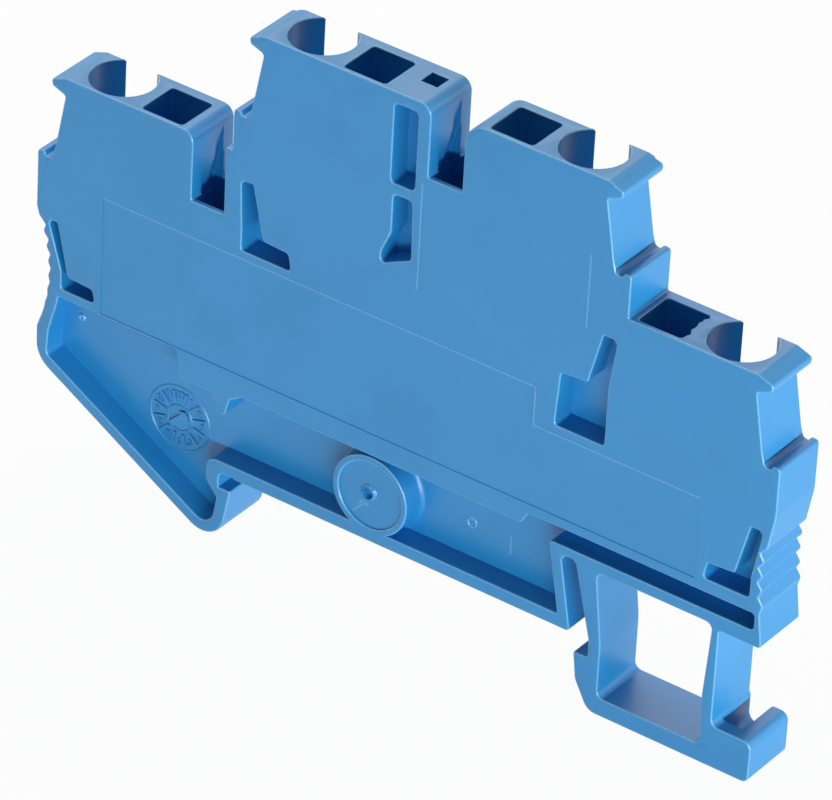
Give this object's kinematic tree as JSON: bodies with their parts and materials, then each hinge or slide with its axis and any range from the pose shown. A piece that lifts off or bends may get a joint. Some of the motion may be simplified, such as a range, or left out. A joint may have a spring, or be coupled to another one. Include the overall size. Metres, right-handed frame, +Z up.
{
  "type": "double level terminal block",
  "caption": "Slim double level feed-through terminal block for a 35 mm rail, with spring-cage clamps, stepped towers and a sprung rail foot.",
  "frame": {"origin": "middle of the rail, on the seat that rests on the rail's top, in the middle of the block's width", "axes": "+X across the rail towards the sprung foot, +Y along the rail towards the open side, +Z up from the rail"},
  "size_m": [0.0688, 0.0052, 0.0467],
  "materials": {
    "polyamide": "moulded, satin",
    "tinned_copper": "tin plated",
    "spring_steel": "bright rolled"
  },
  "bodies": {
    "root": {"housing": "polyamide", "lower_current_bar": "tinned_copper", "upper_current_bar": "tinned_copper", "lower_left_spring": "spring_steel", "upper_left_spring": "spring_steel", "upper_right_spring": "spring_steel", "lower_right_spring": "spring_steel"}
  },
  "joints": []
}
